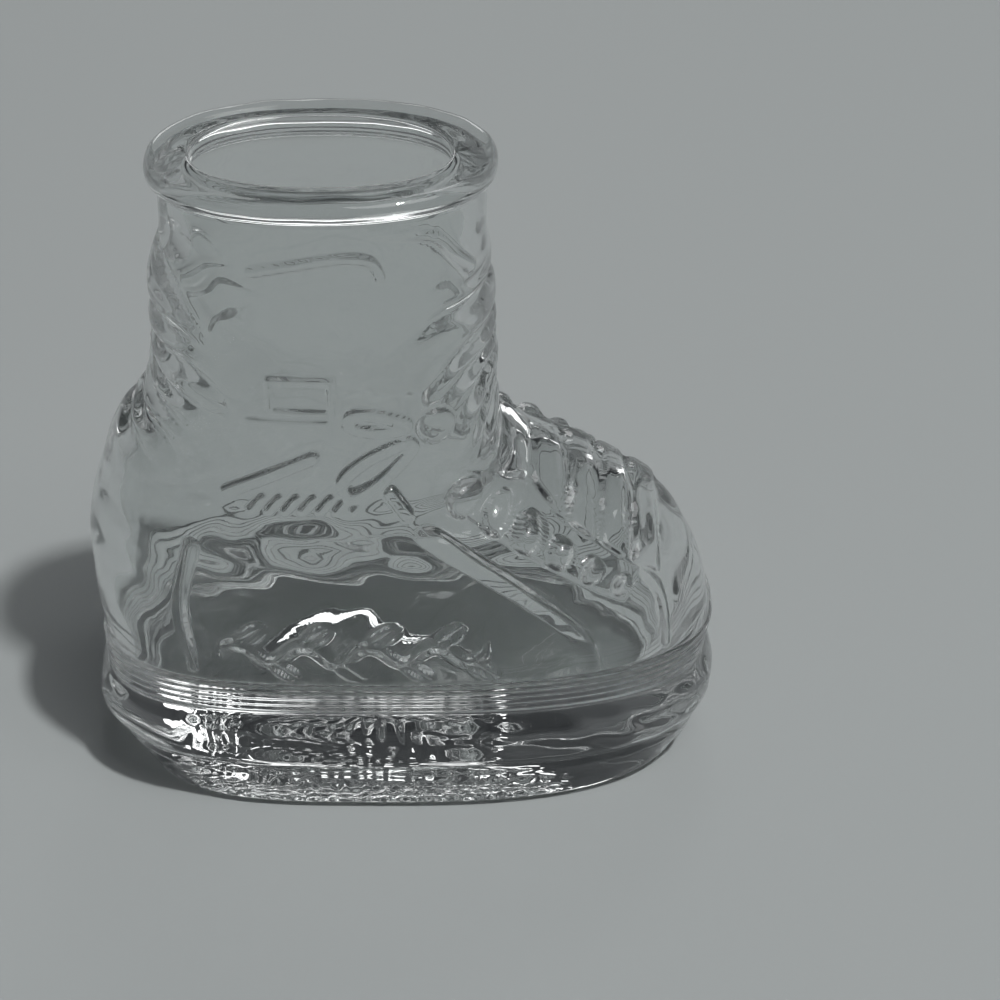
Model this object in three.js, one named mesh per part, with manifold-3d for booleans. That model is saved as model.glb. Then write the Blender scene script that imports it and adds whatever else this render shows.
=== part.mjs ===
// Shot glass in the form of a laced skate boot, pressed in clear glass.
// Millimetres, +Z up. The origin is the middle of the sole on the table and +X points to the toe.
import * as THREE from 'three';
import { mergeVertices } from 'three/addons/utils/BufferGeometryUtils.js';
import Module from 'manifold-3d';

// Overall sizes
const HEIGHT = 76;
const SOLE_LENGTH = 72.6;
const SOLE_WIDTH = 36;
const SOLE_MIDDLE_X = -4.4; // the sole is widest here
const SOLE_TOE_SQUARENESS = 2.7; // power of the oval ahead of the widest line
const SOLE_HEEL_SQUARENESS = 3.3; // power of the oval behind it

// Sole: a drawn-in foot, a crease, and a rounded side above it
const SOLE_HEIGHT = 13.4;
const SOLE_BULGE_HEIGHT = 9.4; // the rounded side is widest here
const CREASE_HEIGHT = 6;
const CREASE_DEPTH = 0.4;
const CREASE_HALF = 0.7;
const HEEL_CREASE_INSET = 1.9; // how far the sole is drawn in at the crease
const TOE_CREASE_INSET = 1;
const SIDE_CREASE_INSET = 0.15;
const HEEL_FOOT_INSET = 5.9; // and at the table
const TOE_FOOT_INSET = 4.4;
const SIDE_FOOT_INSET = 0.5;
const SOLE_EDGE_RADIUS = 1.2; // rounding of the edge on the table
const NOTCH_DEPTH = 1.5; // the groove between sole and welt
const RECESS_X = -4.4; // middle of the hollow in the underside
const RECESS_LENGTH = 30;
const RECESS_WIDTH = 18;
const RECESS_DEPTH = 1.3;

// Welt
const WELT_HEIGHT = 4.6;
const WELT_RIDGES = 5;
const WELT_RIDGE_DEPTH = 0.4;
const COVE_RADIUS = 2.2; // rounding where the wall meets the cup floor

// Boot wall, rises are measured from the top of the welt
const WALL = 2.7;
const TOE_WALL = 5.5; // the wall is thicker at the toe
const TOE_INSET = 0.7; // the boot stands inside the sole by these
const HEEL_INSET = 1.4;
const SIDE_INSET = 1.0;
const HEEL_BULGE_RISE = 9;
const HEEL_BULGE = 0.8;
const HEEL_TURN_RISE = 21.8;
const HEEL_TURN_BACK = 33.4;
const ACHILLES_RISE = 33.9;
const SHAFT_BACK = 27.4;
const TOE_BOX_RISE = 9;
const TOE_BOX_FRONT = 32.6;
const VAMP_RISE = 15.7;
const VAMP_FRONT = 24.4;
const INSTEP_RISE = 21.2;
const INSTEP_FRONT = 13.2;
const BEND_RISE = 25.8;
const SHAFT_FRONT = 10.9;
const VAMP_HALF = 16.1;
const INSTEP_HALF = 14.6;
const SHAFT_HALF = 12.7;
const COLLAR_DROP = 11; // the collar swells this far under the lip
const COLLAR_BACK = 26.8;
const COLLAR_FRONT = 10.3;
const COLLAR_HALF = 12.4;
const NECK_DROP = 4.5; // the neck is narrowest this far under the lip

// Folds pressed in the wall at the ankle
const FOLD_DEPTH = 0.35;
const FOLD_PITCH = 4.2;
const FOLD_SLOPE = 0.25; // the folds fall by this for each millimetre from the middle
const HEEL_FOLD_RISE = 29.4;
const FRONT_FOLD_RISE = 34.4;
const FOLD_REACH = 9; // how far up and down the folds run
const FOLD_FADE = 4;
const HEEL_FOLD_FRONT = -21; // the heel folds end here
const FRONT_FOLD_BACK = 7.5; // the front folds begin here

// Lip
const RIM_X = -7.7;
const RIM_LENGTH = 37.1;
const RIM_WIDTH = 26;
const RIM_SQUARENESS = 2.25;
const LIP_HEIGHT = 2.6;
const LIP_WIDTH = 4.9;
const LIP_OVERHANG = 1.2;
const LIP_CORNER = 0.6; // rounding of its two inner edges

// Laces and eyestays
const SEAT_GAP = 0.3; // between the wall and what lies on it
const LACE_BARS = 5;
const LACE_BAR_HALF = 1.6;
const LACE_BAR_HEIGHT = 0.9;
const LACE_RIDGE_FIRST = 13; // place of the first and last bar on the ridge of the instep
const LACE_RIDGE_LAST = 27.3;
const LACE_SPREAD_FIRST = -0.6; // how far their ends move forward on the way down
const LACE_SPREAD_LAST = 0;
const EYELETS = 6;
const EYELET_X_FIRST = 7.1;
const EYELET_X_LAST = 24.6;
const EYELET_RISE_FIRST = 21.8;
const EYELET_RISE_LAST = 10.4;
const EYELET_RADIUS_FIRST = 1.85;
const EYELET_RADIUS_LAST = 1.1;
const EYELET_HEIGHT = 1;
const EYESTAY_HALF = 1.6;
const EYESTAY_HEIGHT = 0.3;
const EYESTAY_OVERRUN = 1.8; // past the end eyelets
const LACE_TO_EYESTAY = 0.5;

// Bow
const CORD_HALF = 0.75;
const CORD_HEIGHT = 0.5;
const KNOT_X = 4.2;
const KNOT_RISE = 31;
const KNOT_RADIUS = 1.9;
const KNOT_HEIGHT = 0.8;
const LONG_LOOP_LENGTH = 10.2;
const LONG_LOOP_WIDTH = 4.4;
const LONG_LOOP_FALL = 35; // degrees under the level, running back from the knot
const SHORT_LOOP_LENGTH = 7.6;
const SHORT_LOOP_WIDTH = 3.5;
const SHORT_LOOP_FALL = -9;
const LOOP_TO_KNOT = 0.5;
const LOOP_SQUARENESS = 3.2;
const LOOP_TAPER = 0.6; // share of its width that a loop keeps beside the knot
const LONG_END_FROM_X = -8.9;
const LONG_END_FROM_RISE = 27.9;
const LONG_END_TO_X = -18.2;
const LONG_END_TO_RISE = 23.8;
const SHORT_END_FROM_X = -0.7;
const SHORT_END_FROM_RISE = 23.8;
const SHORT_END_TO_X = 1;
const SHORT_END_TO_RISE = 21.3;

// Seams
const SEAM_HALF = 1.1;
const SEAM_HEIGHT = 0.7;
const VAMP_SEAM_TOP_X = 3.3;
const VAMP_SEAM_TOP_RISE = 19.1;
const VAMP_SEAM_MIDDLE_X = 13.4;
const VAMP_SEAM_MIDDLE_RISE = 11.7;
const VAMP_SEAM_BEND_X = 19.8;
const VAMP_SEAM_BEND_RISE = 5.6;
const VAMP_SEAM_FOOT_X = 21.7;
const VAMP_SEAM_FOOT_RISE = 1;
const HEEL_SEAM_HALF = 0.6;
const HEEL_SEAM_HEIGHT = 0.35;
const HEEL_SEAM_TOP_X = -22.6;
const HEEL_SEAM_TOP_RISE = 17.4;
const HEEL_SEAM_MIDDLE_X = -24.2;
const HEEL_SEAM_MIDDLE_RISE = 9.5;
const HEEL_SEAM_FOOT_X = -23.3;
const HEEL_SEAM_FOOT_RISE = 1.2;
const TOE_SEAM_HALF = 0.6;
const TOE_SEAM_HEIGHT = 0.35;
const TOE_SEAM_TOP_X = 29.8;
const TOE_SEAM_FOOT_X = 30.6;
const TOE_SEAM_FOOT_RISE = 1.5;

// Vine low on the side
const VINE_FROM_X = -20;
const VINE_WAVES = 4;
const VINE_WAVE = 7.4;
const VINE_RISE = 4;
const VINE_AMPLITUDE = 1.1;
const VINE_HALF = 1;
const VINE_HEIGHT = 0.65;
const LEAF_LENGTH = 4.2;
const LEAF_WIDTH = 2.6;
const LEAF_TURN = 40; // degrees between a leaf and the run of the vine
const LEAF_HEIGHT = 0.7;

// Fineness
const AROUND = 48;
const OUTER_STEP = 1.8;
const BEND_ZONE = 6; // steps are halved this far under the ankle bend
const FOLD_STEP = 1.05; // steps over the folds
const INNER_STEP = 5;

const weltTop = SOLE_HEIGHT + WELT_HEIGHT;
const bootTop = HEIGHT - LIP_HEIGHT;
const soleEnd = SOLE_LENGTH / 2;
const neckBack = RIM_LENGTH / 2 - RIM_X - LIP_OVERHANG;
const neckFront = RIM_LENGTH / 2 + RIM_X - LIP_OVERHANG;
const neckHalf = RIM_WIDTH / 2 - LIP_OVERHANG;

// A smooth curve through [height, value] points that doesn't swing past them
function curve(points) {
  const last = points.length - 1;
  const rise = points.slice(1).map((p, i) => (p[1] - points[i][1]) / (p[0] - points[i][0]));
  const slopes = points.map((p, i) => {
    if (i === 0) return rise[0];
    if (i === last) return rise[last - 1];
    const before = rise[i - 1];
    const after = rise[i];
    return before * after > 0 ? (2 * before * after) / (before + after) : 0;
  });
  return (height) => {
    const z = THREE.MathUtils.clamp(height, points[0][0], points[last][0]);
    let i = 0;
    while (i < last - 1 && z > points[i + 1][0]) i += 1;
    const span = points[i + 1][0] - points[i][0];
    const t = (z - points[i][0]) / span;
    const a = points[i][1] + slopes[i] * span * t;
    const b = points[i + 1][1] - slopes[i + 1] * span * (1 - t);
    const blend = t * t * (3 - 2 * t);
    return a + (b - a) * blend;
  };
}

const heelLine = curve([
  [weltTop, soleEnd - HEEL_INSET],
  [weltTop + HEEL_BULGE_RISE, soleEnd - HEEL_INSET + HEEL_BULGE],
  [weltTop + HEEL_TURN_RISE, HEEL_TURN_BACK],
  [weltTop + ACHILLES_RISE, SHAFT_BACK],
  [bootTop - COLLAR_DROP, COLLAR_BACK],
  [bootTop - NECK_DROP, neckBack],
  [bootTop, neckBack],
]);
const toeLine = curve([
  [weltTop, soleEnd - TOE_INSET],
  [weltTop + TOE_BOX_RISE, TOE_BOX_FRONT],
  [weltTop + VAMP_RISE, VAMP_FRONT],
  [weltTop + INSTEP_RISE, INSTEP_FRONT],
  [weltTop + BEND_RISE, SHAFT_FRONT],
  [weltTop + ACHILLES_RISE, SHAFT_FRONT],
  [bootTop - COLLAR_DROP, COLLAR_FRONT],
  [bootTop - NECK_DROP, neckFront],
  [bootTop, neckFront],
]);
const halfLine = curve([
  [weltTop, SOLE_WIDTH / 2 - SIDE_INSET],
  [weltTop + VAMP_RISE, VAMP_HALF],
  [weltTop + INSTEP_RISE, INSTEP_HALF],
  [weltTop + ACHILLES_RISE, SHAFT_HALF],
  [bootTop - COLLAR_DROP, COLLAR_HALF],
  [bootTop - NECK_DROP, neckHalf],
  [bootTop, neckHalf],
]);

// Lines of the sole, from the table up to the notch
const soleLine = (end, footInset, creaseInset) => curve([
  [0, end - footInset],
  [CREASE_HEIGHT, end - creaseInset],
  [SOLE_BULGE_HEIGHT, end],
  [SOLE_HEIGHT, end - NOTCH_DEPTH],
]);
const soleHeelLine = soleLine(soleEnd, HEEL_FOOT_INSET, HEEL_CREASE_INSET);
const soleToeLine = soleLine(soleEnd, TOE_FOOT_INSET, TOE_CREASE_INSET);
const soleHalfLine = soleLine(SOLE_WIDTH / 2, SIDE_FOOT_INSET, SIDE_CREASE_INSET);

// Where the oval at a height is widest, and its two powers: those of the sole pass into the rim's
function ovalForm(z) {
  const share = THREE.MathUtils.clamp((z - SOLE_HEIGHT) / (bootTop - SOLE_HEIGHT), 0, 1);
  return {
    middle: THREE.MathUtils.lerp(SOLE_MIDDLE_X, RIM_X, share),
    toePower: THREE.MathUtils.lerp(SOLE_TOE_SQUARENESS, RIM_SQUARENESS, share),
    heelPower: THREE.MathUtils.lerp(SOLE_HEEL_SQUARENESS, RIM_SQUARENESS, share),
  };
}

// The slice of the boot at a height, thinner all round by the wall inset
function bootSlice(z, inset = 0) {
  const step = 0.5;
  const sized = (line) => {
    const slope = (line(z + step) - line(z - step)) / (2 * step);
    return line(z) - inset * Math.hypot(1, slope);
  };
  return { heel: sized(heelLine), toe: sized(toeLine), half: sized(halfLine), z };
}

// The slice of the hollow: its wall is thicker at the toe, from the toe box down
function innerSlice(z, inset = WALL) {
  const slice = bootSlice(z, inset);
  const share = 1 - THREE.MathUtils.smoothstep(z - weltTop, TOE_BOX_RISE, INSTEP_RISE);
  slice.toe -= (TOE_WALL - WALL) * share;
  return slice;
}

// Points of an oval slice, evenly spaced, starting at the toe and running over the +Y side
function oval(slice, count = AROUND) {
  const form = ovalForm(slice.z);
  const fine = [];
  for (let i = 0; i <= 90; i += 1) {
    const angle = (Math.PI * i) / 90;
    const c = Math.cos(angle);
    const s = Math.max(Math.sin(angle), 0);
    const power = c >= 0 ? form.toePower : form.heelPower;
    const reach = (Math.abs(c) ** power + s ** power) ** (-1 / power);
    const length = c >= 0 ? slice.toe - form.middle : slice.heel + form.middle;
    fine.push(new THREE.Vector2(form.middle + length * c * reach, slice.half * s * reach));
  }
  const half = new THREE.SplineCurve(fine).getSpacedPoints(count / 2);
  half[0].y = 0;
  half[count / 2].y = 0;
  const ring = half.map((p) => new THREE.Vector3(p.x, p.y, slice.z));
  for (let i = count / 2 - 1; i > 0; i -= 1) ring.push(new THREE.Vector3(half[i].x, -half[i].y, slice.z));
  return ring;
}

// Skin over rings of equal count: looped joins the last ring to the first, else both ends get a fan
function skin(rings, looped) {
  const count = rings[0].length;
  const points = rings.flat();
  const index = [];
  const steps = looped ? rings.length : rings.length - 1;
  for (let i = 0; i < steps; i += 1) {
    const here = i * count;
    const next = ((i + 1) % rings.length) * count;
    for (let j = 0; j < count; j += 1) {
      const k = (j + 1) % count;
      index.push(here + j, here + k, next + k, here + j, next + k, next + j);
    }
  }
  if (!looped) {
    for (const [ring, flip] of [[0, true], [rings.length - 1, false]]) {
      const middle = new THREE.Vector3();
      for (const p of rings[ring]) middle.addScaledVector(p, 1 / count);
      points.push(middle);
      for (let j = 0; j < count; j += 1) {
        const a = ring * count + j;
        const b = ring * count + ((j + 1) % count);
        if (flip) index.push(points.length - 1, b, a);
        else index.push(points.length - 1, a, b);
      }
    }
  }
  const geometry = new THREE.BufferGeometry().setFromPoints(points);
  geometry.setIndex(index);
  geometry.computeVertexNormals();
  return geometry;
}

// Evenly spaced heights from one level to another
function levels(from, to, step) {
  const count = Math.max(2, Math.round(Math.abs(to - from) / step));
  return Array.from({ length: count + 1 }, (_, i) => from + ((to - from) * i) / count);
}

// How far the ankle folds lift the wall at a point
function foldLift(p) {
  const z = p.z - weltTop;
  const fade = (distance) => THREE.MathUtils.smoothstep(distance, 0, FOLD_FADE);
  const band = (rise) => fade(FOLD_REACH - Math.abs(z - rise));
  const heel = fade(HEEL_FOLD_FRONT - p.x) * band(HEEL_FOLD_RISE);
  const front = fade(p.x - FRONT_FOLD_BACK) * band(FRONT_FOLD_RISE);
  const run = (z + FOLD_SLOPE * Math.abs(p.y)) / FOLD_PITCH;
  return FOLD_DEPTH * (heel + front) * Math.cos(2 * Math.PI * run);
}

function bootUpper() {
  const bend = weltTop + BEND_RISE;
  const foldTop = weltTop + FRONT_FOLD_RISE + FOLD_REACH;
  const heights = [
    ...levels(weltTop, bend - BEND_ZONE, OUTER_STEP),
    ...levels(bend - BEND_ZONE, bend, OUTER_STEP / 2).slice(1),
    ...levels(bend, foldTop, FOLD_STEP).slice(1),
    ...levels(foldTop, bootTop, OUTER_STEP).slice(1),
  ];
  const outside = heights.map((z) => {
    const slice = bootSlice(z);
    return oval(slice).map((p) => {
      const out = new THREE.Vector3(p.x - ovalForm(z).middle, p.y * 2, 0).normalize();
      return p.addScaledVector(out, foldLift(p));
    });
  });
  const inside = levels(bootTop, weltTop, INNER_STEP).map((z) => oval(innerSlice(z)));
  return skin([...outside, ...inside], true);
}

// The sole's outline at a height
function soleSlice(z, inset = 0) {
  return { heel: soleHeelLine(z) - inset, toe: soleToeLine(z) - inset, half: soleHalfLine(z) - inset, z };
}

// The outline of the hollow under it
function recessSlice(inset, z) {
  const half = RECESS_LENGTH / 2 - inset;
  return { heel: half - RECESS_X, toe: half + RECESS_X, half: RECESS_WIDTH / 2 - inset, z };
}

function soleBase() {
  const rings = [];
  rings.push(oval(recessSlice(RECESS_DEPTH, RECESS_DEPTH)));
  rings.push(oval(recessSlice(0, 0)));
  for (const turn of [0, 30, 60]) {
    const angle = THREE.MathUtils.degToRad(turn);
    const z = SOLE_EDGE_RADIUS * (1 - Math.cos(angle));
    rings.push(oval(soleSlice(z, SOLE_EDGE_RADIUS * (1 - Math.sin(angle)))));
  }
  const under = CREASE_HEIGHT - CREASE_HALF;
  const over = CREASE_HEIGHT + CREASE_HALF;
  for (const z of levels(SOLE_EDGE_RADIUS, under, OUTER_STEP)) rings.push(oval(soleSlice(z)));
  rings.push(oval(soleSlice(CREASE_HEIGHT, CREASE_DEPTH)));
  for (const z of levels(over, SOLE_HEIGHT, OUTER_STEP * 0.6)) rings.push(oval(soleSlice(z)));
  return skin(rings, false);
}

// The welt runs from the sole's notch to the foot of the boot, with ridges between
function weltBand() {
  const foot = soleSlice(SOLE_HEIGHT);
  const head = bootSlice(weltTop);
  const outside = levels(0, 1, 1 / (WELT_RIDGES * 3)).map((t) => {
    const out = WELT_RIDGE_DEPTH * Math.abs(Math.sin(Math.PI * WELT_RIDGES * t));
    const mix = (key) => THREE.MathUtils.lerp(foot[key], head[key], t) + out;
    return oval({ heel: mix('heel'), toe: mix('toe'), half: mix('half'), z: SOLE_HEIGHT + WELT_HEIGHT * t });
  });
  const inside = [0, 20, 40, 60, 90].map((turn) => {
    const angle = THREE.MathUtils.degToRad(turn);
    const rise = turn === 0 ? WELT_HEIGHT : COVE_RADIUS * (1 - Math.sin(angle));
    const slice = innerSlice(weltTop, WALL + COVE_RADIUS * (1 - Math.cos(angle)));
    return oval({ ...slice, z: SOLE_HEIGHT + rise });
  });
  return skin([...outside, ...inside], true);
}

// The lip is a flat bar swept round the mouth, with a round outer edge and two rounded inner corners
function rimLip() {
  const round = LIP_HEIGHT / 2;
  const section = [];
  for (const turn of [-90, -45, 0, 45, 90]) {
    const angle = THREE.MathUtils.degToRad(turn);
    section.push([round * (1 - Math.cos(angle)), round + round * Math.sin(angle)]);
  }
  const corner = (turn, middle) => {
    const angle = THREE.MathUtils.degToRad(turn);
    return [LIP_WIDTH - LIP_CORNER * (1 - Math.cos(angle)), middle + LIP_CORNER * Math.sin(angle)];
  };
  for (const turn of [90, 45, 0]) section.push(corner(turn, LIP_HEIGHT - LIP_CORNER));
  for (const turn of [0, -45, -90]) section.push(corner(turn, LIP_CORNER));
  const rings = section.map(([inset, rise]) => oval({
    heel: RIM_LENGTH / 2 - RIM_X - inset,
    toe: RIM_LENGTH / 2 + RIM_X - inset,
    half: RIM_WIDTH / 2 - inset,
    z: bootTop + rise,
  }));
  return skin(rings, true);
}

// Whether a point lies inside the plain outer form of the boot
function insideBoot(p) {
  const slice = bootSlice(p.z);
  const form = ovalForm(p.z);
  const along = p.x - form.middle;
  const length = along >= 0 ? slice.toe - form.middle : slice.heel + form.middle;
  const power = along >= 0 ? form.toePower : form.heelPower;
  return (Math.abs(along) / length) ** power + (Math.abs(p.y) / slice.half) ** power < 1;
}

// Where a ray from inside the boot comes out
function comeOut(origin, direction) {
  let near = 0;
  let far = SOLE_WIDTH;
  for (let i = 0; i < 32; i += 1) {
    const middle = (near + far) / 2;
    if (insideBoot(origin.clone().addScaledVector(direction, middle))) near = middle;
    else far = middle;
  }
  return origin.clone().addScaledVector(direction, near);
}

// Maps of the wall: each turns two numbers into a point on the outer form.
// sideMap takes x and the rise above the welt, for the -Y side or the +Y side.
const sideMap = (side) => (x, rise) =>
  comeOut(new THREE.Vector3(x, 0, weltTop + rise), new THREE.Vector3(0, side, 0));
// overMap takes x and a turn over the instep, from 0 on the -Y side to 1 on the +Y side.
const overMap = (riseAt) => (x, turn) => {
  const angle = Math.PI * turn;
  const direction = new THREE.Vector3(0, -Math.cos(angle), Math.sin(angle));
  return comeOut(new THREE.Vector3(x, 0, weltTop + riseAt(x)), direction);
};

// A point lifted off the wall, along the wall's own outward direction
function lifted(map, u, v, lift, vStep) {
  const here = map(u, v);
  const alongU = map(u + 0.05, v).sub(map(u - 0.05, v));
  const alongV = map(u, v + vStep).sub(map(u, v - vStep));
  const out = alongU.cross(alongV).normalize();
  const away = new THREE.Vector3(0, here.y, here.z - weltTop);
  if (out.dot(away) < 0) out.negate();
  return here.addScaledVector(out, lift);
}

// A rounded strip that lies on the wall. place(t, u) gives the map's two numbers
// at t along the strip and at u across it, from -1 to 1.
function strip({ map, place, steps, height, closed = false, vStep = 0.05, ends = 0.55 }) {
  const across = [-1, -0.55, 0.55, 1];
  const crown = [0.45, 1, 1, 0.45];
  const rings = [];
  for (let i = 0; i <= steps - (closed ? 1 : 0); i += 1) {
    const t = i / steps;
    const nearEnd = closed ? 1 : Math.min(1, (Math.min(t, 1 - t) * steps) / 1.5);
    const size = ends + (1 - ends) * nearEnd;
    const top = across.map((u, k) => {
      const [a, b] = place(t, u * size);
      return lifted(map, a, b, SEAT_GAP + height * crown[k] * size, vStep);
    });
    const under = [1, 0, -1].map((u) => {
      const [a, b] = place(t, u * size);
      return lifted(map, a, b, SEAT_GAP, vStep);
    });
    rings.push([...top, ...under]);
  }
  return outward(skin(rings, closed));
}

// Turns a closed skin the right way out
function outward(geometry) {
  const p = geometry.getAttribute('position');
  const index = geometry.getIndex();
  const [a, b, c] = [new THREE.Vector3(), new THREE.Vector3(), new THREE.Vector3()];
  let volume = 0;
  for (let i = 0; i < index.count; i += 3) {
    a.fromBufferAttribute(p, index.getX(i));
    b.fromBufferAttribute(p, index.getX(i + 1));
    c.fromBufferAttribute(p, index.getX(i + 2));
    volume += a.dot(b.cross(c));
  }
  if (volume < 0) {
    for (let i = 0; i < index.count; i += 3) {
      const keep = index.getX(i);
      index.setX(i, index.getX(i + 1));
      index.setX(i + 1, keep);
    }
  }
  geometry.computeVertexNormals();
  return geometry;
}

// A domed stud on the wall, round or drawn out along a turn
function stud({ map, x, rise, radius, height, base = 0, long = radius, turn = 0 }) {
  const sides = 10;
  const along = new THREE.Vector2(Math.cos(turn), Math.sin(turn));
  const rings = [[1, base], [1, height * 0.45], [0.8, height * 0.8], [0.4, height]].map(([r, lift]) =>
    Array.from({ length: sides }, (_, j) => {
      const angle = (2 * Math.PI * j) / sides;
      const a = long * r * Math.cos(angle);
      const b = radius * r * Math.sin(angle);
      const u = x + along.x * a - along.y * b;
      const v = rise + along.y * a + along.x * b;
      return lifted(map, u, v, SEAT_GAP + lift, 0.05);
    }));
  return outward(skin(rings, false));
}

// A cord that follows points on the side, each [x, rise]
function cord(map, points, steps, half, height) {
  const path = new THREE.SplineCurve(points.map((p) => new THREE.Vector2(...p)));
  const place = (t, u) => {
    const middle = path.getPoint(t);
    const along = path.getTangent(t);
    return [middle.x - along.y * half * u, middle.y + along.x * half * u];
  };
  return strip({ map, place, steps, height });
}

// A closed loop that runs back from the knot, narrow beside it
function loop(map, length, width, fall) {
  const turn = THREE.MathUtils.degToRad(180 + fall);
  const ahead = new THREE.Vector2(Math.cos(turn), Math.sin(turn));
  const aside = new THREE.Vector2(-ahead.y, ahead.x);
  const start = KNOT_RADIUS + LOOP_TO_KNOT + length / 2;
  const middle = new THREE.Vector2(KNOT_X, KNOT_RISE).addScaledVector(ahead, start);
  const place = (t, u) => {
    const c = Math.cos(2 * Math.PI * t);
    const s = Math.sin(2 * Math.PI * t);
    const reach = (Math.abs(c) ** LOOP_SQUARENESS + Math.abs(s) ** LOOP_SQUARENESS) ** (-1 / LOOP_SQUARENESS);
    const broad = THREE.MathUtils.lerp(LOOP_TAPER, 1, THREE.MathUtils.smoothstep(c * reach, -1, 0.2));
    const along = (length / 2 - CORD_HALF + CORD_HALF * u) * c * reach;
    const side = ((width / 2 - CORD_HALF) * broad + CORD_HALF * u) * s * reach;
    return [
      middle.x + ahead.x * along + aside.x * side,
      middle.y + ahead.y * along + aside.y * side,
    ];
  };
  return strip({ map, place, steps: 22, height: CORD_HEIGHT, closed: true });
}

const eyeletRise = (x) => THREE.MathUtils.mapLinear(
  x, EYELET_X_FIRST, EYELET_X_LAST, EYELET_RISE_FIRST, EYELET_RISE_LAST);

// A lace over the instep that ends just above both eyestays
function laceBar(number) {
  const share = number / (LACE_BARS - 1);
  const ridge = THREE.MathUtils.lerp(LACE_RIDGE_FIRST, LACE_RIDGE_LAST, share);
  const spread = THREE.MathUtils.lerp(LACE_SPREAD_FIRST, LACE_SPREAD_LAST, share);
  const fall = (EYELET_RISE_LAST - EYELET_RISE_FIRST) / (EYELET_X_LAST - EYELET_X_FIRST);
  const lift = (EYESTAY_HALF + LACE_TO_EYESTAY) * Math.hypot(1, fall);
  const foot = (x) => eyeletRise(x) + lift;
  const place = (t, u) => {
    const down = 1 - Math.sin(Math.PI * t);
    return [ridge + spread * down + LACE_BAR_HALF * u, t];
  };
  return strip({
    map: overMap(foot), place, steps: 12, height: LACE_BAR_HEIGHT, vStep: 0.004, ends: 0.7,
  });
}

const wasm = await Module();
wasm.setup();

function solid(geometry) {
  const plain = new THREE.BufferGeometry();
  plain.setAttribute('position', geometry.getAttribute('position').clone());
  plain.setIndex(geometry.getIndex().clone());
  const merged = mergeVertices(plain, 1e-5);
  return new wasm.Manifold(new wasm.Mesh({
    numProp: 3,
    vertProperties: new Float32Array(merged.getAttribute('position').array),
    triVerts: new Uint32Array(merged.getIndex().array),
  }));
}

function joined(geometries) {
  let whole = solid(geometries[0]);
  for (const next of geometries.slice(1)) whole = whole.add(solid(next));
  const mesh = whole.getMesh();
  const geometry = new THREE.BufferGeometry();
  geometry.setAttribute('position', new THREE.BufferAttribute(new Float32Array(mesh.vertProperties), 3));
  geometry.setIndex(new THREE.BufferAttribute(new Uint32Array(mesh.triVerts), 1));
  geometry.computeVertexNormals();
  return geometry;
}

// The strip beside the laces with its studs
function eyestay(side) {
  const map = sideMap(side);
  const run = new THREE.Vector2(EYELET_X_LAST - EYELET_X_FIRST, EYELET_RISE_LAST - EYELET_RISE_FIRST);
  const along = run.clone().normalize();
  const length = run.length() + 2 * EYESTAY_OVERRUN;
  const place = (t, u) => {
    const s = t * length - EYESTAY_OVERRUN;
    return [
      EYELET_X_FIRST + along.x * s - along.y * EYESTAY_HALF * u,
      EYELET_RISE_FIRST + along.y * s + along.x * EYESTAY_HALF * u,
    ];
  };
  const pieces = [strip({ map, place, steps: 12, height: EYESTAY_HEIGHT })];
  for (let i = 0; i < EYELETS; i += 1) {
    const share = i / (EYELETS - 1);
    const radius = THREE.MathUtils.lerp(EYELET_RADIUS_FIRST, EYELET_RADIUS_LAST, share);
    const x = EYELET_X_FIRST + run.x * share;
    const base = EYESTAY_HEIGHT / 2;
    pieces.push(stud({ map, x, rise: eyeletRise(x), radius, height: EYELET_HEIGHT, base }));
  }
  return joined(pieces);
}

// The raised seam from the eyestay down to the welt
function vampSeam(side) {
  const points = [
    [VAMP_SEAM_TOP_X, VAMP_SEAM_TOP_RISE],
    [VAMP_SEAM_MIDDLE_X, VAMP_SEAM_MIDDLE_RISE],
    [VAMP_SEAM_BEND_X, VAMP_SEAM_BEND_RISE],
    [VAMP_SEAM_FOOT_X, VAMP_SEAM_FOOT_RISE],
  ];
  return cord(sideMap(side), points, 12, SEAM_HALF, SEAM_HEIGHT);
}

// The fine seam that marks off the heel
function heelSeam(side) {
  const points = [
    [HEEL_SEAM_TOP_X, HEEL_SEAM_TOP_RISE],
    [HEEL_SEAM_MIDDLE_X, HEEL_SEAM_MIDDLE_RISE],
    [HEEL_SEAM_FOOT_X, HEEL_SEAM_FOOT_RISE],
  ];
  return cord(sideMap(side), points, 8, HEEL_SEAM_HALF, HEEL_SEAM_HEIGHT);
}

// The fine ridge round the toe cap, over the top from welt to welt
function toeCapSeam() {
  const map = overMap(() => TOE_SEAM_FOOT_RISE);
  const place = (t, u) => {
    const down = 1 - Math.sin(Math.PI * t);
    return [THREE.MathUtils.lerp(TOE_SEAM_TOP_X, TOE_SEAM_FOOT_X, down) + TOE_SEAM_HALF * u, t];
  };
  return strip({ map, place, steps: 18, height: TOE_SEAM_HEIGHT, vStep: 0.004 });
}

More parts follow.
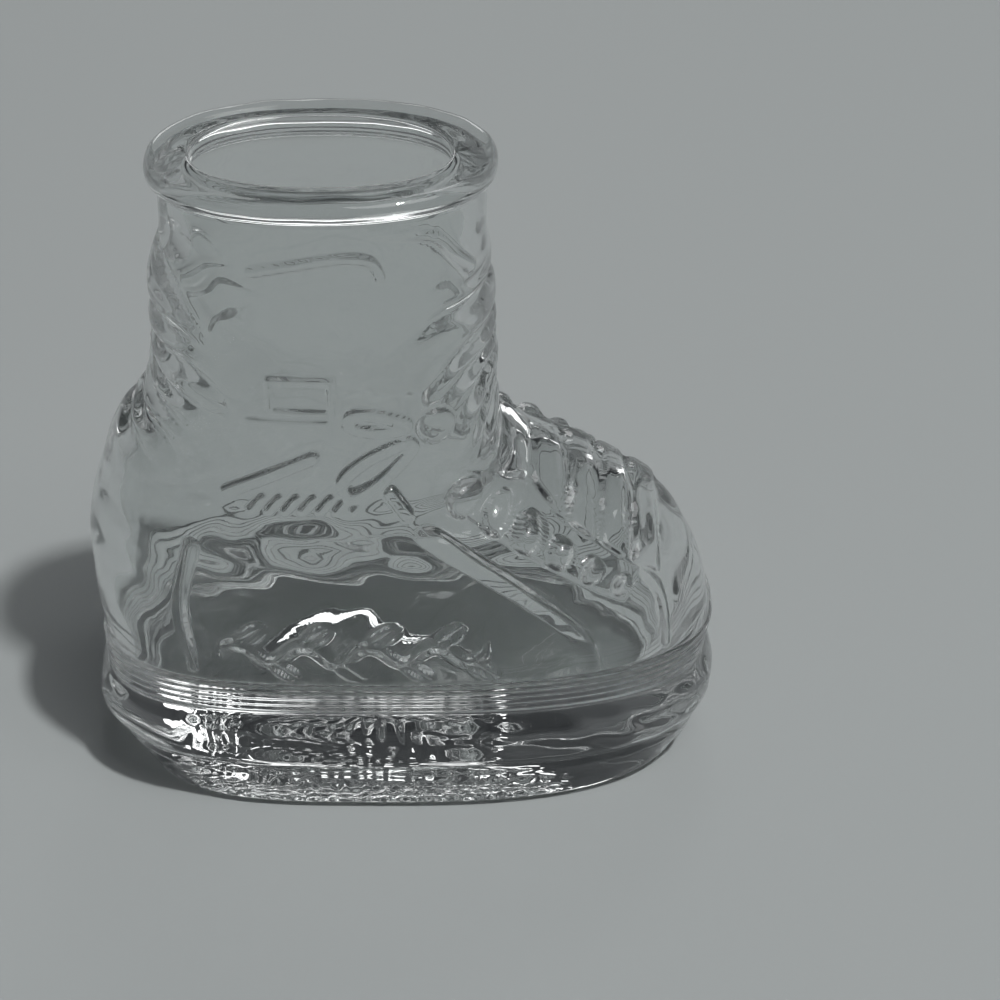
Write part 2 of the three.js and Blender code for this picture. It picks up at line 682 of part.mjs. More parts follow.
// A wavy stem with a leaf on each crest and in each hollow
function vineBand() {
  const map = sideMap(-1);
  const run = VINE_WAVE * VINE_WAVES;
  const place = (t, u) => {
    const angle = 2 * Math.PI * VINE_WAVES * t;
    const tilt = Math.atan(((2 * Math.PI * VINE_AMPLITUDE) / VINE_WAVE) * Math.cos(angle));
    return [
      VINE_FROM_X + run * t - Math.sin(tilt) * VINE_HALF * u,
      VINE_RISE + VINE_AMPLITUDE * Math.sin(angle) + Math.cos(tilt) * VINE_HALF * u,
    ];
  };
  const pieces = [strip({ map, place, steps: VINE_WAVES * 6, height: VINE_HEIGHT })];
  for (let i = 0; i < VINE_WAVES * 2; i += 1) {
    const up = i % 2 === 0 ? 1 : -1;
    const turn = up * THREE.MathUtils.degToRad(LEAF_TURN);
    const x = VINE_FROM_X + (VINE_WAVE * (i + 0.5)) / 2 + (Math.cos(turn) * LEAF_LENGTH) / 2;
    const rise = VINE_RISE + up * VINE_AMPLITUDE + (Math.sin(turn) * LEAF_LENGTH) / 2;
    pieces.push(stud({
      map, x, rise, radius: LEAF_WIDTH / 2, height: LEAF_HEIGHT, long: LEAF_LENGTH / 2, turn,
    }));
  }
  return joined(pieces);
}

const part = new THREE.Group();
part.name = 'skate_shot_glass';

function add(name, geometry) {
  const glass = new THREE.MeshStandardMaterial({ color: 0xdfe6e4, roughness: 0.06, metalness: 0 });
  const mesh = new THREE.Mesh(geometry, glass);
  mesh.name = name;
  part.add(mesh);
}

const near = sideMap(-1);
add('sole_base', soleBase());
add('welt_band', weltBand());
add('boot_upper', bootUpper());
add('rim_lip', rimLip());
for (let i = 0; i < LACE_BARS; i += 1) add(`lace_bar_${i + 1}`, laceBar(i));
add('eyestay_right', eyestay(-1));
add('eyestay_left', eyestay(1));
add('bow_knot', stud({
  map: near, x: KNOT_X, rise: KNOT_RISE, radius: KNOT_RADIUS, height: KNOT_HEIGHT,
}));
add('bow_loop_long', loop(near, LONG_LOOP_LENGTH, LONG_LOOP_WIDTH, LONG_LOOP_FALL));
add('bow_loop_short', loop(near, SHORT_LOOP_LENGTH, SHORT_LOOP_WIDTH, SHORT_LOOP_FALL));
const longEnd = [[LONG_END_FROM_X, LONG_END_FROM_RISE], [LONG_END_TO_X, LONG_END_TO_RISE]];
add('lace_end_long', cord(near, longEnd, 8, CORD_HALF, CORD_HEIGHT));
const shortEnd = [[SHORT_END_FROM_X, SHORT_END_FROM_RISE], [SHORT_END_TO_X, SHORT_END_TO_RISE]];
add('lace_end_short', cord(near, shortEnd, 5, CORD_HALF, CORD_HEIGHT));
add('vamp_seam_right', vampSeam(-1));
add('vamp_seam_left', vampSeam(1));
add('heel_seam_right', heelSeam(-1));
add('heel_seam_left', heelSeam(1));
add('toe_cap_seam', toeCapSeam());
add('vine_band', vineBand());

export default part;
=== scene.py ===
# Shot glass in the form of a laced skate boot: one body of clear glass with its relief.
# Shapes are worked out in millimetres in the frame of the CAD model and stored in metres.
import math

import bpy
import numpy as np
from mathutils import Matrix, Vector


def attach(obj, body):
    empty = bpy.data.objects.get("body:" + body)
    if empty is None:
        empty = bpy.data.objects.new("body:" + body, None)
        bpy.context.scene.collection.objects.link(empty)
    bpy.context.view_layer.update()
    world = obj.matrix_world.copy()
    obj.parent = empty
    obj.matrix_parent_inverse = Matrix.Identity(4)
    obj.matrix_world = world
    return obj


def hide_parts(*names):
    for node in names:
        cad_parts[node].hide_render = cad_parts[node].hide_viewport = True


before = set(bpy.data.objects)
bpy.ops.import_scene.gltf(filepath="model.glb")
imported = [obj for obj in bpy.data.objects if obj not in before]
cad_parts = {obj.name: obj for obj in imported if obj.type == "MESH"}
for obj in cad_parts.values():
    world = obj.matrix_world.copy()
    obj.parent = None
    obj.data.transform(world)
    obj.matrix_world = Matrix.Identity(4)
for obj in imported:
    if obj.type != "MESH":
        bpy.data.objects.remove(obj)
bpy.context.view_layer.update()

MM = 0.001

# Sizes shared with the solids, in millimetres
HEIGHT = 76.0
SOLE_LENGTH = 72.6
SOLE_WIDTH = 36.0
SOLE_MIDDLE_X = -4.4
SOLE_TOE_SQUARENESS = 2.7
SOLE_HEEL_SQUARENESS = 3.3
SOLE_HEIGHT = 13.4
SOLE_BULGE_HEIGHT = 9.4
CREASE_HEIGHT = 6.0
CREASE_DEPTH = 0.4
CREASE_HALF = 0.7
HEEL_CREASE_INSET = 1.9
TOE_CREASE_INSET = 1.0
SIDE_CREASE_INSET = 0.15
HEEL_FOOT_INSET = 5.9
TOE_FOOT_INSET = 4.4
SIDE_FOOT_INSET = 0.5
SOLE_EDGE_RADIUS = 1.2
NOTCH_DEPTH = 1.5
RECESS_X = -4.4
RECESS_LENGTH = 30.0
RECESS_WIDTH = 18.0
RECESS_DEPTH = 1.3
WELT_HEIGHT = 4.6
WELT_RIDGES = 5
WELT_RIDGE_DEPTH = 0.4
COVE_RADIUS = 2.2
RIM_X = -7.7
RIM_LENGTH = 37.1
RIM_WIDTH = 26.0
RIM_SQUARENESS = 2.25
LIP_HEIGHT = 2.6
LIP_WIDTH = 4.9
LIP_OVERHANG = 1.2
LIP_CORNER = 0.6

# Boot wall, shared with the solids: rises are measured from the top of the welt, drops from the lip
WALL = 2.7
TOE_WALL = 5.5
TOE_INSET = 0.7
HEEL_INSET = 1.4
SIDE_INSET = 1.0
HEEL_BULGE_RISE = 9.0
HEEL_BULGE = 0.8
HEEL_TURN_RISE = 21.8
HEEL_TURN_BACK = 33.4
ACHILLES_RISE = 33.9
SHAFT_BACK = 27.4
TOE_BOX_RISE = 9.0
TOE_BOX_FRONT = 32.6
VAMP_RISE = 15.7
VAMP_FRONT = 24.4
INSTEP_RISE = 21.2
INSTEP_FRONT = 13.2
BEND_RISE = 25.8
SHAFT_FRONT = 10.9
VAMP_HALF = 16.1
INSTEP_HALF = 14.6
SHAFT_HALF = 12.7
COLLAR_DROP = 11.0
COLLAR_BACK = 26.8
COLLAR_FRONT = 10.3
COLLAR_HALF = 12.4
NECK_DROP = 4.5

# Relief shared with the solids: a place is x and the rise above the welt
SEAT = 0.3
LACE_BARS = 5
LACE_BAR_HALF = 1.6
LACE_BAR_HEIGHT = 0.9
LACE_RIDGE = (13.0, 27.3)
LACE_SPREAD = (-0.6, 0.0)
EYELETS = 6
EYELET_X = (7.1, 24.6)
EYELET_RISE = (21.8, 10.4)
EYELET_RADIUS = (1.85, 1.1)
EYELET_HEIGHT = 1.0
EYESTAY_HALF = 1.6
EYESTAY_HEIGHT = 0.3
EYESTAY_OVERRUN = 1.8
LACE_TO_EYESTAY = 0.5
CORD_HALF = 0.75
KNOT = (4.2, 31.0)
KNOT_RADIUS = 1.9
KNOT_HEIGHT = 0.8
LONG_LOOP = (10.2, 4.4, 35.0)
SHORT_LOOP = (7.6, 3.5, -9.0)
LOOP_TO_KNOT = 0.5
LOOP_SQUARENESS = 3.2
LOOP_TAPER = 0.6
LONG_END = ((-8.9, 27.9), (-18.2, 23.8))
SHORT_END = ((-0.7, 23.8), (1.0, 21.3))
SEAM_HALF = 1.1
SEAM_HEIGHT = 0.7
VAMP_SEAM = ((3.3, 19.1), (13.4, 11.7), (19.8, 5.6), (21.7, 1.0))
HEEL_SEAM_HALF = 0.6
HEEL_SEAM = ((-22.6, 17.4), (-24.2, 9.5), (-23.3, 1.2))
VINE_FROM_X = -20.0
VINE_WAVES = 4
VINE_WAVE = 7.4
VINE_RISE = 4.0
VINE_AMPLITUDE = 1.1
VINE_HALF = 1.0
VINE_HEIGHT = 0.65
LEAF_LENGTH = 4.2
LEAF_WIDTH = 2.6
LEAF_TURN = 40.0
LEAF_HEIGHT = 0.7

# Relief that is finer here than in the solids
NEAR_EDGE = 0.5  # what lies on the near side only ends within this of the middle
LACE_TOP = (26.6, 25.2)  # the laces end between these rises
LACE_STEP = (-0.2, 0.3)  # the step at a lace's foot lies between these distances from its line
LACE_SWELL = (1.0, 5.5)  # a lace rises to its full height between these
LACE_LOW_SHARE = 0.5  # share of its height at the foot
LACE_FAN = 4.0  # the feet of the laces spread over this distance
LACE_TO_RIDGE = 6.0  # distance from its foot at which a lace is narrowest
LACE_WIDENING = (0.05, -0.2)  # change of a lace's half width at its foot and on the ridge
EYESTAY_EDGE = 0.5
EYESTAY_LACE_EDGE = (0.3, -0.1)  # its edge at the laces lies between these distances from their feet
EYESTAY_END = 1.0  # its ends slope down over this length
CORD_RAISE = 0.6
CORD_SPREAD = 0.1  # a cord's foot is wider by this on each side
CORD_EDGE = 0.35
SEAM_TOP = (20.0, 18.5)  # the vamp seams end between these rises
SEAM_EDGE = 0.6  # width of the steep edge of the vamp seam's lap
SEAM_FOOT = 0.3  # the lap's long slope runs out this far past the half width
SEAM_SIDES = (3.0, 5.0)  # the vamp and heel seams set in at these distances from the middle
HEEL_SEAM_RAISE = 0.4
TOE_SEAM = ((26.7, 11.5), (28.6, 8.8), (29.6, 5.7), (29.9, 1.5))
TOE_SEAM_HALF = 0.45
TOE_SEAM_RAISE = 0.3
STROKE_EDGE = 0.35  # width of the steep edge of a vine stroke
VINE_END = (-0.06, 0.02)  # an end of the stem slopes up between these, in waves
LEAF_OUTLINE = (1.05, 0.25)  # limit of a leaf and width of its edge, in shares of its half size
COLLAR_LINES = (
    ((-14.5, 49.6), (-10.3, 50.6), (-5.2, 51.5), (-2.2, 51.0), (-1.2, 49.2)),
    ((-1.9, 54.4), (0.9, 53.9), (4.3, 52.8), (6.3, 50.0), (7.8, 47.8)))
COLLAR_LINE_HALF = 0.75
COLLAR_LINE_EDGE = 0.5
COLLAR_LINE_RAISE = 0.6
TAB = (-10.0, 35.3)
TAB_HALF_LENGTH = 3.3
TAB_HALF_HEIGHT = 1.9
TAB_FRAME_HALF = 0.5
TAB_LINE = (-11.6, 32.1)
TAB_LINE_HALF_LENGTH = 4.2
STITCHES = 7
STITCH_FROM_X = -15.2
STITCH_PITCH = 1.85
STITCH_LEAN = 0.6
STITCH_RISE = (21.9, 23.3)
TRIM_HALF = 0.45
TRIM_EDGE = 0.3
TRIM_RAISE = 0.4

# Valleys between the ankle folds: distance round from the heel or from the front, and rise
HEEL_FOLDS = (
    ((0.0, 26.9), (4.0, 26.6), (8.0, 26.3), (11.7, 25.3)),
    ((0.0, 29.3), (4.0, 29.0), (8.4, 28.7), (11.7, 27.9), (14.6, 26.4)),
    ((0.0, 32.7), (4.0, 31.8), (8.3, 30.9), (14.0, 29.6)),
    ((0.0, 36.3), (5.0, 34.8), (8.6, 33.3), (15.4, 32.4)),
    ((0.0, 38.4), (6.6, 37.6), (11.2, 37.0), (17.0, 34.6)),
    ((0.0, 41.8), (5.3, 41.1), (9.8, 40.4), (15.0, 39.2)),
    ((1.5, 48.4), (7.2, 46.7), (10.1, 44.8), (15.2, 39.9)))
FRONT_FOLDS = (
    ((0.0, 44.0), (4.0, 43.9), (8.3, 43.5), (12.6, 43.0), (16.5, 41.4)),
    ((0.0, 39.6), (4.0, 39.4), (8.6, 38.8), (11.5, 37.4), (15.0, 35.4)),
    ((0.0, 37.2), (5.2, 36.6), (9.8, 35.4), (13.2, 33.8)),
    ((0.0, 35.2), (5.7, 34.4), (8.0, 33.0), (11.7, 31.7)),
    ((0.0, 32.4), (4.6, 31.3), (7.5, 29.3), (10.6, 27.6)),
    ((0.0, 30.0), (3.3, 29.4), (7.0, 26.4), (9.5, 24.4)))
HEEL_FOLD = (1.3, 1.8)  # depth of a valley and its reach to each side
FRONT_FOLD = (1.15, 1.9)
FOLD_RUN_OUT = (0.5, -6.0)  # a valley gets shallow between these distances past its end
FOLD_END_SHARE = 0.06  # share of its depth that it keeps there

# Underside, and slow waves of the glass
RECESS_SLOPE = 3.5
STIPPLE_WAVES = 5
STIPPLE_DEPTH = 0.3
PANEL_STIPPLE = 0.35  # share of that depth in the hollow panel
NEAR_STIPPLE_X = (22.0, 12.0)  # the stipple sets in along the near edge between these
NEAR_STIPPLE_Y = (-6.0, -8.5)
HEEL_STIPPLE = (-21.5, 1.0)  # middle of the patch at the heel
HEEL_STIPPLE_LENGTH = (5.5, 1.5)  # its half length, and how much of that has the full depth
HEEL_STIPPLE_WIDTH = (9.0, 4.0)
STIPPLE_LENGTH = (1.3, 1.98)  # length of its first wave and of its last
STIPPLE_TURN = 2.4  # turn from wave to wave, in radians
STIPPLE_SHIFT = 1.7  # shift from wave to wave, in radians
BEARING_STIPPLE = ((0.0, 0.1), (0.98, 0.88))  # it sets in and ends between these shares of the bearing face
PANEL_FADE_RINGS = 3
OUTER_WAVE = 0.05
LIP_WAVE = 0.05
SOLE_WAVE = 0.1
INNER_WAVE = 0.24
INNER_RIPPLE = 0.07
# Heights over which relief and waves fade out: above the welt and under the lip, on the lip, on the sole
OUTER_FADE = (1.2, 2.0)
INNER_FADE = (1.2, 3.0)
LIP_FADE = 0.6
SOLE_FADE = 2.0
# Lenses that the plunger left inside: x, rise, half length, half height, swell
PLUNGER_LENSES = ((-9.6, 17.2, 4.8, 2.0, 0.85), (1.4, 15.6, 2.2, 1.1, 0.5))
LENS_SIDE = (0.0, -4.0)  # they set in between these on the near side

# Fineness: points round a ring of the boot on its far half and its near half, and the share of each
# on the front stretch. The sole, the welt and the inside have half as many
FAR, NEAR = 140, 340
FAR_FRONT, NEAR_FRONT = 0.7, 0.5
FRONT_SPAN = 0.42
AROUND = FAR + NEAR
COARSE = AROUND // 2
PANEL_RINGS = 14
PANEL_SHARES = (0.05, 0.95)  # they lie between these shares of the panel
SLOPE_RINGS = 8
BEARING_RINGS = 30
SOLE_STEP = 0.5
WELT_RIDGE_STEPS = 6
INNER_STEP = 0.9
OVAL_SAMPLES = 721
# Steps in which the distance to a path is measured, and points of a bow loop
PATH_SAMPLES = 40
FOLD_SAMPLES = 14
STRAIGHT_SAMPLES = 2
LOOP_STEPS = 40
# Places of single rings
LIP_TOP_RINGS = (0.5, 1.1)  # rings on the flat top of the lip, in from its round edge
INNER_TOP_GAP = 0.8  # the first ring of the wall's inside lies this far under the lip
# Turns, in degrees, at which rounded edges have a ring, and shares at which the cup floor has one
EDGE_TURNS = (18, 36, 54, 72)
LIP_TURNS = range(-72, 91, 18)
CORNER_TURNS = (90, 68, 45, 22, 0)
COVE_TURNS = range(0, 91, 6)
CUP_FLOOR_SHARES = (0.95, 0.85, 0.6, 0.3, 0.02)

welt_top = SOLE_HEIGHT + WELT_HEIGHT
boot_top = HEIGHT - LIP_HEIGHT
boot_rise = boot_top - welt_top
sole_end = SOLE_LENGTH / 2
neck_back = RIM_LENGTH / 2 - RIM_X - LIP_OVERHANG
neck_front = RIM_LENGTH / 2 + RIM_X - LIP_OVERHANG
neck_half = RIM_WIDTH / 2 - LIP_OVERHANG
half_lip = LIP_HEIGHT / 2

# Steps up the boot wall, finer where relief lies: from rise, to rise, step
LEVEL_STEPS = (
    (0, 8, 0.27), (8, 26, 0.25), (26, 38, 0.28), (38, 47, 0.5), (47, 53, 0.32), (53, boot_rise - 0.6, 0.6))
# Fine groove under the lip: inset and drop
LIP_GROOVE = ((0.0, 0.5), (0.25, 0.25), (0.3, 0.1), (0.2, 0.0))


def curve(points):
    """A smooth curve through (height, value) points that doesn't swing past them."""
    z = np.array([p[0] for p in points], float)
    v = np.array([p[1] for p in points], float)
    rise = np.diff(v) / np.diff(z)
    slope = np.zeros_like(v)
    slope[0], slope[-1] = rise[0], rise[-1]
    for i in range(1, len(v) - 1):
        if rise[i - 1] * rise[i] > 0:
            slope[i] = 2 * rise[i - 1] * rise[i] / (rise[i - 1] + rise[i])

    def value(height):
        h = np.clip(height, z[0], z[-1])
        i = np.clip(np.searchsorted(z, h) - 1, 0, len(z) - 2)
        span = z[i + 1] - z[i]
        t = (h - z[i]) / span
        a = v[i] + slope[i] * span * t
        b = v[i + 1] - slope[i + 1] * span * (1 - t)
        return a + (b - a) * t * t * (3 - 2 * t)

    return value


def smooth(low, high, x):
    """0 at low and 1 at high, eased at both ends; low may be the greater one."""
    t = np.clip((x - low) / (high - low), 0, 1)
    return t * t * (3 - 2 * t)


def steps(low, high, step):
    return list(np.linspace(low, high, max(2, int(round(abs(high - low) / step))) + 1))


def between(pair, share):
    return pair[0] + (pair[1] - pair[0]) * share


def sole_line(end, foot_inset, crease_inset):
    return curve([
        (0, end - foot_inset), (CREASE_HEIGHT, end - crease_inset), (SOLE_BULGE_HEIGHT, end),
        (SOLE_HEIGHT, end - NOTCH_DEPTH)])


sole_heel_line = sole_line(sole_end, HEEL_FOOT_INSET, HEEL_CREASE_INSET)
sole_toe_line = sole_line(sole_end, TOE_FOOT_INSET, TOE_CREASE_INSET)
sole_half_line = sole_line(SOLE_WIDTH / 2, SIDE_FOOT_INSET, SIDE_CREASE_INSET)
heel_line = curve([
    (welt_top, sole_end - HEEL_INSET),
    (welt_top + HEEL_BULGE_RISE, sole_end - HEEL_INSET + HEEL_BULGE),
    (welt_top + HEEL_TURN_RISE, HEEL_TURN_BACK),
    (welt_top + ACHILLES_RISE, SHAFT_BACK),
    (boot_top - COLLAR_DROP, COLLAR_BACK),
    (boot_top - NECK_DROP, neck_back),
    (boot_top, neck_back)])
toe_line = curve([
    (welt_top, sole_end - TOE_INSET),
    (welt_top + TOE_BOX_RISE, TOE_BOX_FRONT),
    (welt_top + VAMP_RISE, VAMP_FRONT),
    (welt_top + INSTEP_RISE, INSTEP_FRONT),
    (welt_top + BEND_RISE, SHAFT_FRONT),
    (welt_top + ACHILLES_RISE, SHAFT_FRONT),
    (boot_top - COLLAR_DROP, COLLAR_FRONT),
    (boot_top - NECK_DROP, neck_front),
    (boot_top, neck_front)])
half_line = curve([
    (welt_top, SOLE_WIDTH / 2 - SIDE_INSET),
    (welt_top + VAMP_RISE, VAMP_HALF),
    (welt_top + INSTEP_RISE, INSTEP_HALF),
    (welt_top + ACHILLES_RISE, SHAFT_HALF),
    (boot_top - COLLAR_DROP, COLLAR_HALF),
    (boot_top - NECK_DROP, neck_half),
    (boot_top, neck_half)])


# A slice is (heel, toe, half width, height)
def boot_slice(z, inset=0.0):
    def sized(line):
        slope = line(z + 0.5) - line(z - 0.5)
        return float(line(z) - inset * math.hypot(1, slope))

    return (sized(heel_line), sized(toe_line), sized(half_line), z)


def inner_slice(z, inset=WALL):
    """The slice of the hollow: its wall is thicker at the toe, up to the instep."""
    heel, toe, half, _ = boot_slice(z, inset)
    thicker = (TOE_WALL - WALL) * float(smooth(INSTEP_RISE, TOE_BOX_RISE, z - welt_top))
    return (heel, toe - thicker, half, z)


def sole_slice(z, inset=0.0):
    return (sole_heel_line(z) - inset, sole_toe_line(z) - inset, sole_half_line(z) - inset, z)


def recess_slice(inset, z):
    half = RECESS_LENGTH / 2 - inset
    return (half - RECESS_X, half + RECESS_X, RECESS_WIDTH / 2 - inset, z)


def rim_slice(inset, z):
    return (RIM_LENGTH / 2 - RIM_X - inset, RIM_LENGTH / 2 + RIM_X - inset, RIM_WIDTH / 2 - inset, z)


def shrunk(part, share):
    """The slice drawn in towards the middle of the sole."""
    heel, toe, half, z = part
    shift = SOLE_MIDDLE_X * (1 - share)
    return (heel * share - shift, toe * share + shift, half * share, z)


def oval(part, far, near):
    """Points of a slice from the toe over the +Y side and back, with their distance from the toe."""
    heel, toe, half, z = part
    share = min(max((z - SOLE_HEIGHT) / (boot_top - SOLE_HEIGHT), 0.0), 1.0)
    middle = between((SOLE_MIDDLE_X, RIM_X), share)
    toe_power = between((SOLE_TOE_SQUARENESS, RIM_SQUARENESS), share)
    heel_power = between((SOLE_HEEL_SQUARENESS, RIM_SQUARENESS), share)
    angle = np.linspace(0, math.pi, OVAL_SAMPLES)
    c, s = np.cos(angle), np.clip(np.sin(angle), 0, None)
    power = np.where(c >= 0, toe_power, heel_power)
    reach = (np.abs(c) ** power + s ** power) ** (-1 / power)
    length = np.where(c >= 0, toe - middle, heel + middle)
    x, y = middle + length * c * reach, half * s * reach
    run = np.concatenate([[0], np.cumsum(np.hypot(np.diff(x), np.diff(y)))])
    there = np.interp(np.linspace(0, 1, far + 1), [0, FAR_FRONT, 1], [0, FRONT_SPAN, 1])
    back = np.interp(np.linspace(1, 0, near + 1), [0, NEAR_FRONT, 1], [0, FRONT_SPAN, 1])
    along = np.concatenate([there, back[1:-1]]) * run[-1]
    ring = np.empty((far + near, 3))
    ring[:, 0] = np.interp(along, run, x)
    ring[:, 1] = np.interp(along, run, y)
    ring[far + 1:, 1] *= -1
    ring[[0, far], 1] = 0
    ring[:, 2] = z
    return ring, along, run[-1]


def base_slices():
    """Slices from the middle of the underside up to the welt, and how far out on the bearing face each is."""
    slices, spread_out = [], []

    def add(part, spread=0.0):
        slices.append(part)
        spread_out.append(spread)

    # Hollow panel, bearing face and rolled edge
    for share in np.linspace(*PANEL_SHARES, PANEL_RINGS):
        add(shrunk(recess_slice(RECESS_SLOPE, RECESS_DEPTH), share))
    for t in np.linspace(0, 1, SLOPE_RINGS):
        add(recess_slice(RECESS_SLOPE * (1 - t), RECESS_DEPTH * (1 - smooth(0, 1, t))))
    foot_print = sole_slice(0, SOLE_EDGE_RADIUS)
    for t in np.linspace(0, 1, BEARING_RINGS + 1)[1:]:
        add(tuple(between(pair, t) for pair in zip(recess_slice(0, 0), foot_print)), t)
    for turn in EDGE_TURNS:
        a = math.radians(turn)
        add(sole_slice(SOLE_EDGE_RADIUS * (1 - math.cos(a)), SOLE_EDGE_RADIUS * (1 - math.sin(a))))
    # Side of the sole with its crease
    for z in steps(SOLE_EDGE_RADIUS, SOLE_HEIGHT, SOLE_STEP):
        add(sole_slice(z, CREASE_DEPTH * math.exp(-((z - CREASE_HEIGHT) / (0.6 * CREASE_HALF)) ** 2)))
    # Welt
    foot, head = sole_slice(SOLE_HEIGHT), boot_slice(welt_top)
    for t in np.linspace(0, 1, WELT_RIDGES * WELT_RIDGE_STEPS + 1)[1:-1]:
        swell = WELT_RIDGE_DEPTH * abs(math.sin(math.pi * WELT_RIDGES * t))
        wide = tuple(between(pair, t) + swell for pair in zip(foot[:3], head[:3]))
        add(wide + (SOLE_HEIGHT + WELT_HEIGHT * t,))
    return slices, np.array(spread_out)[:, None]


def upper_slices():
    """Slices of the boot wall and of the lip: its groove, round edge and the outer part of its flat top."""
    levels = [welt_top]
    for low, high, step in LEVEL_STEPS:
        levels += steps(welt_top + low, welt_top + high, step)[1:]
    slices = [boot_slice(z) for z in levels]
    slices += [rim_slice(LIP_OVERHANG + inset, boot_top - drop) for inset, drop in LIP_GROOVE]
    for turn in LIP_TURNS:
        a = math.radians(turn)
        slices.append(rim_slice(half_lip * (1 - math.cos(a)), boot_top + half_lip * (1 + math.sin(a))))
    return slices + [rim_slice(half_lip + LIP_TOP_RINGS[0], HEIGHT)]


def inner_slices():
    """Slices from the flat top of the lip down the inside to the middle of the cup floor."""
    flat_end = LIP_WIDTH - LIP_CORNER
    flat = (half_lip + LIP_TOP_RINGS[1], flat_end - LIP_TOP_RINGS[0])
    slices = [rim_slice(inset, HEIGHT) for inset in flat]
    corners = [(HEIGHT - LIP_CORNER, turn) for turn in CORNER_TURNS]
    corners += [(boot_top + LIP_CORNER, -turn) for turn in reversed(CORNER_TURNS)]
    for middle, turn in corners:
        a = math.radians(turn)
        inset = LIP_WIDTH - LIP_CORNER * (1 - math.cos(a))
        slices.append(rim_slice(inset, middle + LIP_CORNER * math.sin(a)))
    slices += [inner_slice(z) for z in steps(boot_top - INNER_TOP_GAP, welt_top, INNER_STEP)]
    for turn in COVE_TURNS:
        a = math.radians(turn)
        low = inner_slice(welt_top, WALL + COVE_RADIUS * (1 - math.cos(a)))
        slices.append(low[:3] + (SOLE_HEIGHT + COVE_RADIUS * (1 - math.sin(a)),))
    bed = inner_slice(welt_top, WALL + COVE_RADIUS)[:3] + (SOLE_HEIGHT,)
    return slices + [shrunk(bed, share) for share in CUP_FLOOR_SHARES]


def grid(slices, far, near):
    """Points of all slices, their distances from the toe and heel, and their outward directions."""
    rings = [oval(part, far, near) for part in slices]
    p = np.array([r[0] for r in rings])
    toe = np.array([r[1] for r in rings])
    heel = np.array([r[2] - r[1] for r in rings])
    around = np.roll(p, -1, axis=1) - np.roll(p, 1, axis=1)
    up = np.empty_like(p)
    up[1:-1] = p[2:] - p[:-2]
    up[0], up[-1] = p[1] - p[0], p[-1] - p[-2]
    out = np.cross(around, up)
    out /= np.maximum(np.linalg.norm(out, axis=2, keepdims=True), 1e-12)
    return p, toe, heel, out


# Points of the outside, on which the relief is raised
upper, from_toe, from_heel, upper_out = grid(upper_slices(), FAR, NEAR)
X, Y, Z = upper[..., 0], upper[..., 1], upper[..., 2]
RISE = Z - welt_top
near_side = smooth(NEAR_EDGE, -NEAR_EDGE, Y)

# Distance off the line of the studs and along it
eye_slope = (EYELET_RISE[1] - EYELET_RISE[0]) / (EYELET_X[1] - EYELET_X[0])
eye_turn = math.hypot(1, eye_slope)
eye_line = EYELET_RISE[0] + (X - EYELET_X[0]) * eye_slope
eye_off = (RISE - eye_line) / eye_turn
eye_along = ((X - EYELET_X[0]) + (RISE - EYELET_RISE[0]) * eye_slope) / eye_turn
eye_length = math.hypot(EYELET_X[1] - EYELET_X[0], EYELET_RISE[1] - EYELET_RISE[0])
lace_foot = EYESTAY_HALF + LACE_TO_EYESTAY


def dome(distance, radius):
    """1 in the middle and 0 just past the radius, round on top."""
    d = np.clip(np.abs(distance) / (1.08 * radius), 0, 1)
    return (1 - d ** 2) ** 0.6


def flat_top(distance, half, edge):
    """1 over the middle and 0 past the half width, with a round edge between."""
    return smooth(half, half - edge, np.abs(distance))


def slope_down(height, half):
    """1 just under the upper edge of a stroke, sloping down to 0 at its lower edge."""
    upper_edge = smooth(half, half - STROKE_EDGE, height)
    return upper_edge * np.clip((height + half) / (2 * half - STROKE_EDGE), 0, 1)


def from_path(path, x, y, samples=PATH_SAMPLES, signed=False):
    """Distance to a smooth path through points; signed, it is below zero to the right of the path."""
    p = np.array(path, float)
    t = np.linspace(0, len(p) - 1, samples + 1)
    i = np.clip(t.astype(int), 0, len(p) - 2)
    f = (t - i)[:, None]
    before, after = p[np.maximum(i - 1, 0)], p[np.minimum(i + 2, len(p) - 1)]
    a, b = p[i], p[i + 1]
    line = 0.5 * (2 * a + (b - before) * f + (2 * before - 5 * a + 4 * b - after) * f ** 2
                  + (3 * a - before - 3 * b + after) * f ** 3)
    best, turn = np.full(x.shape, 1e9), np.ones(x.shape)
    for k in range(samples):
        d = line[k + 1] - line[k]
        s = np.clip(((x - line[k, 0]) * d[0] + (y - line[k, 1]) * d[1]) / (d @ d), 0, 1)
        gap_x, gap_y = x - line[k, 0] - s * d[0], y - line[k, 1] - s * d[1]
        gap = np.hypot(gap_x, gap_y)
        if signed:
            turn = np.where(gap < best, np.sign(d[0] * gap_y - d[1] * gap_x), turn)
        best = np.minimum(best, gap)
    return best * turn


def laces():
    """Bars over the instep with narrow grooves between them, highest on the ridge, each ending in a step."""
    up = eye_off - lace_foot
    zone = smooth(*LACE_STEP, up) * smooth(*LACE_TOP, RISE)
    zone *= LACE_LOW_SHARE + (1 - LACE_LOW_SHARE) * smooth(*LACE_SWELL, up)
    foot_share = np.clip(1 - up / LACE_FAN, 0, 1)
    half = LACE_BAR_HALF + between(LACE_WIDENING, smooth(0.0, LACE_TO_RIDGE, up))
    found = []
    for share in np.linspace(0, 1, LACE_BARS):
        middle = between(LACE_RIDGE, share) + between(LACE_SPREAD, share) * foot_share
        bar = np.clip(np.abs(X - middle) / half, 0, 1)
        found.append((SEAT + LACE_BAR_HEIGHT) * (1 - bar ** 4) ** 0.8 * zone)
    return found


